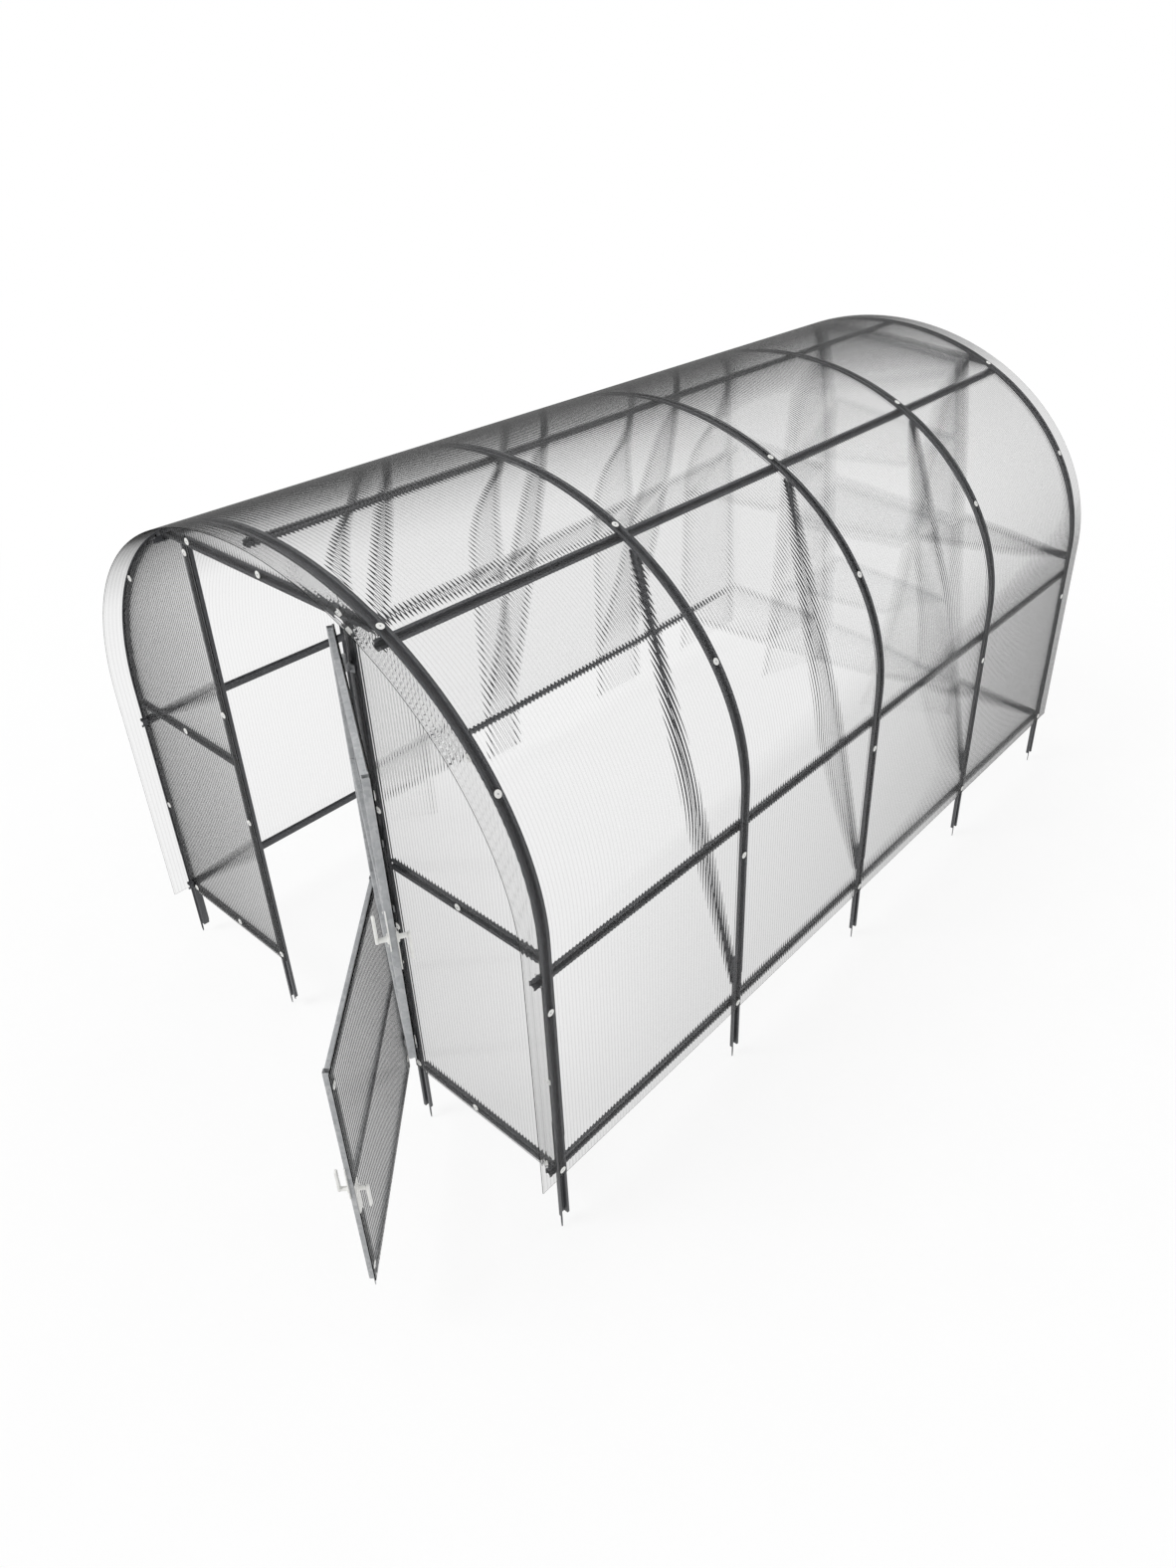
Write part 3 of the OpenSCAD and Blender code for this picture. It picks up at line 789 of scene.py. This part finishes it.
for end in ("front", "back"):
    for leaf in ("upper", "lower"):
        name = end + "_" + leaf
        body = name + "_leaf"
        place = hung(end, leaf)
        piece(name + "_frame.rolled", leaf_bars(leaf) + leaf_screws(leaf), zinc, body,
              [name + "_frame"], place)
        along = place(X) - place(Vector((0, 0, 0)))
        # The small sheets get less painted shade at a low angle than the roof.
        finish_node(name + "_sheet", twinwall("twin-wall sheet in " + name.replace("_", " "),
                                              along, grazing_shade=0.88))
        # Washers hold the sheet to the stiles.
        low, high = LEAF_Z[leaf]
        washers = []
        screws = []
        for x in (hinge_stile, free_stile):
            for z in (low + LEAF_FIXING, high - LEAF_FIXING):
                at = Vector((x, HINGE_OFF, z))
                washers.append(cap_washer(at, -Y, END_CAP_H))
                screws.append(screw_head(at - Y, -Y, END_SCREW_H))
        piece(name + "_washers", washers, white, body, (), place)
        piece(name + "_screws", screws, zinc, body, (), place)


# ---- Handles and leaf hinges ----
# Each leaf has a pair of white moulded lever handles on one spindle, each on a long back
# plate, the outer one hanging and the inner one standing, and two lift-off hinge halves.

LEVER_LEN = 96
LEVER_W = 18
LEVER_T = 9
LEVER_OFF = 26            # from the face behind a lever to its underside
LEVER_WAIST = 0.2         # share of its width that a lever loses at the waist
WAIST_FROM = 12           # where the waist starts, from the end at the spindle
TIP_T = 0.62              # share of its thickness that is left at a tip
SQUARED = 0.55            # 1 would make the section an ellipse, 0 a box
BOSS_R = 8
ROSETTE_R = 15
BACK_PLATE = (34, 140, 3.5)    # width, height and thickness
SPINDLE_DOWN = 36         # from the end of the back plate to the spindle
SCREWS_DOWN = (-25, 92)   # from the spindle to the screws of the back plate


def lever(at, out, down):
    """Back plate, boss and a flat lever with round ends and a slight waist."""
    across = out.cross(down)
    wide, high, thick = BACK_PLATE
    corner = at - across * (wide / 2) - down * SPINDLE_DOWN
    back = plate(rounded(wide, high, 8, 6), corner, across, down, thick, chamfer=0.9)
    tips = [turned([(0, 0), (3.4, 0), (3, 1), (1.5, 1.6), (0, 1.6)],
                   at + out * thick + down * travel, out, sides=16) for travel in SCREWS_DOWN]
    rosette = turned([(0, 0), (ROSETTE_R, 0), (ROSETTE_R, 2.2), (ROSETTE_R - 1.5, 4),
                      (BOSS_R + 0.5, 4.6), (BOSS_R - 0.5, 7), (BOSS_R - 1, LEVER_OFF),
                      (0, LEVER_OFF)], at, out, sides=32)
    rings = []
    top = -LEVER_W / 2
    steps = 28
    sides = 20
    for k in range(steps + 1):
        travel = LEVER_LEN * (1 - math.cos(math.pi * k / steps)) / 2
        near_end = min(travel, LEVER_LEN - travel, LEVER_W / 2) / (LEVER_W / 2)
        end_w = math.sqrt(max(0.0, 1 - (1 - near_end) ** 2))
        along = min(1, max(0, (travel - WAIST_FROM) / (LEVER_LEN - WAIST_FROM)))
        waist = 1 - LEVER_WAIST * math.sin(math.pi * along)
        half_across = max(0.3, LEVER_W / 2 * end_w * waist)
        half_thick = LEVER_T / 2 * (TIP_T + (1 - TIP_T) * end_w)
        centre = at + out * (LEVER_OFF + LEVER_T / 2) + down * (top + travel)
        ring = []
        for i in range(sides):
            a = 2 * math.pi * i / sides
            c = math.copysign(abs(math.cos(a)) ** SQUARED, math.cos(a))
            s = math.copysign(abs(math.sin(a)) ** SQUARED, math.sin(a))
            ring.append(centre + across * (half_across * c) + out * (half_thick * s))
        rings.append(ring)
    return [back, rosette, skin(rings)] + tips


for end in ("front", "back"):
    for leaf in ("upper", "lower"):
        name = end + "_" + leaf
        low, high = LEAF_Z[leaf]
        z = (low + high) / 2 - LEAF_BAR_W / 2 - LEVER_W
        shapes = lever(Vector((free_stile, HINGE_OFF, z)), -Y, -Z)
        shapes += lever(Vector((free_stile, leaf_plane + BAR_D - HAIRLINE, z)), Y, Z)
        piece(name + "_levers", shapes, white, name + "_leaf",
              [name + "_fittings"], hung(end, leaf))
        halves = []
        for hinge_z in hinge_heights(leaf):
            halves += hinge_half(hinge_z + HINGE_H - half_hinge, half_hinge, -1)
        piece(name + "_hinge_halves", halves, zinc, name + "_leaf", (),
              hung(end, leaf))


# ---- Floor, light and camera ----
# A plain pale floor that keeps a faint shadow and fades to white, a soft white surround, a
# broad key light high on the front left, and a camera high off the front right corner.

FLOOR_REACH = 80          # metres from the middle to an edge
stage_mesh = bpy.data.meshes.new("floor")
work = bmesh.new()
bmesh.ops.create_grid(work, x_segments=1, y_segments=1, size=FLOOR_REACH)
work.to_mesh(stage_mesh)
work.free()
floor = bpy.data.objects.new("floor", stage_mesh)
bpy.context.scene.collection.objects.link(floor)
# Painted board: matt and nearly white, a little uneven. It takes the house's shadow, and
# from 2.5 m to 7 m out it fades to plain white for whatever looks at it.
pale, tree = new_material("matt white painted board")
place = add(tree, "ShaderNodeTexCoord").outputs["Object"]
speck = add(tree, "ShaderNodeTexNoise", {"Vector": place, "Scale": 1 / (300 * MM), "Detail": 3.0})
colour = add(tree, "ShaderNodeValToRGB", {"Fac": speck.outputs["Fac"]},
             [(0.2, "#f6f6f6"), (0.8, "#fafafa")]).outputs["Color"]
matt = add(tree, "ShaderNodeBsdfDiffuse", {"Color": colour})
glow = add(tree, "ShaderNodeEmission", {"Color": (1, 1, 1, 1), "Strength": 1.0})
far = add(tree, "ShaderNodeVectorMath", {0: place}, operation="LENGTH").outputs["Value"]
fade = add(tree, "ShaderNodeMapRange", {"Value": far, "From Min": 2.5, "From Max": 7.0,
                                        "To Min": 0.8, "To Max": 1.0})
rays = add(tree, "ShaderNodeLightPath").outputs
seen = add(tree, "ShaderNodeMath", {0: rays["Is Camera Ray"], 1: rays["Is Glossy Ray"]},
           operation="MAXIMUM").outputs[0]
seen = add(tree, "ShaderNodeMath", {0: seen, 1: rays["Is Transmission Ray"]},
           operation="MAXIMUM").outputs[0]
share = add(tree, "ShaderNodeMath", {0: seen, 1: fade.outputs[0]},
            operation="MULTIPLY").outputs[0]
surface = add(tree, "ShaderNodeMixShader", {0: share, 1: matt.outputs[0], 2: glow.outputs[0]})
add(tree, "ShaderNodeOutputMaterial", {"Surface": surface.outputs[0]})
stage_mesh.materials.append(pale)

world = bpy.data.worlds.new("soft white surround")
bpy.context.scene.world = world
world.use_nodes = True
tree = world.node_tree
tree.nodes.clear()
rays = add(tree, "ShaderNodeLightPath").outputs
seen = add(tree, "ShaderNodeMath", {0: rays["Is Camera Ray"], 1: rays["Is Glossy Ray"]},
           operation="MAXIMUM").outputs[0]
seen = add(tree, "ShaderNodeMath", {0: seen, 1: rays["Is Transmission Ray"]},
           operation="MAXIMUM").outputs[0]
strength = add(tree, "ShaderNodeMapRange", {"Value": seen, "To Min": 0.75, "To Max": 1.0})
sky = add(tree, "ShaderNodeBackground", {"Color": (1, 1, 1, 1),
                                         "Strength": strength.outputs[0]})
add(tree, "ShaderNodeOutputWorld", {"Surface": sky.outputs[0]})

key = bpy.data.lights.new("key", "SUN")
key.energy = 1.15
key.angle = math.radians(25)
key_lamp = bpy.data.objects.new("key", key)
key_lamp.rotation_euler = (math.radians(38), 0, math.radians(-32))
bpy.context.scene.collection.objects.link(key_lamp)

lens = bpy.data.cameras.new("camera")
lens.sensor_width = 36
lens.lens = 25.533
lens.shift_x = -0.0429
lens.shift_y = -0.0548
lens.clip_end = 500
camera = bpy.data.objects.new("camera", lens)
camera.location = (3.1575, -3.4078, 3.7587)
camera.rotation_euler = [math.radians(a) for a in (59.3834, 0.4267, 40.2995)]
bpy.context.scene.collection.objects.link(camera)
bpy.context.scene.camera = camera
bpy.context.scene.view_settings.view_transform = "Standard"
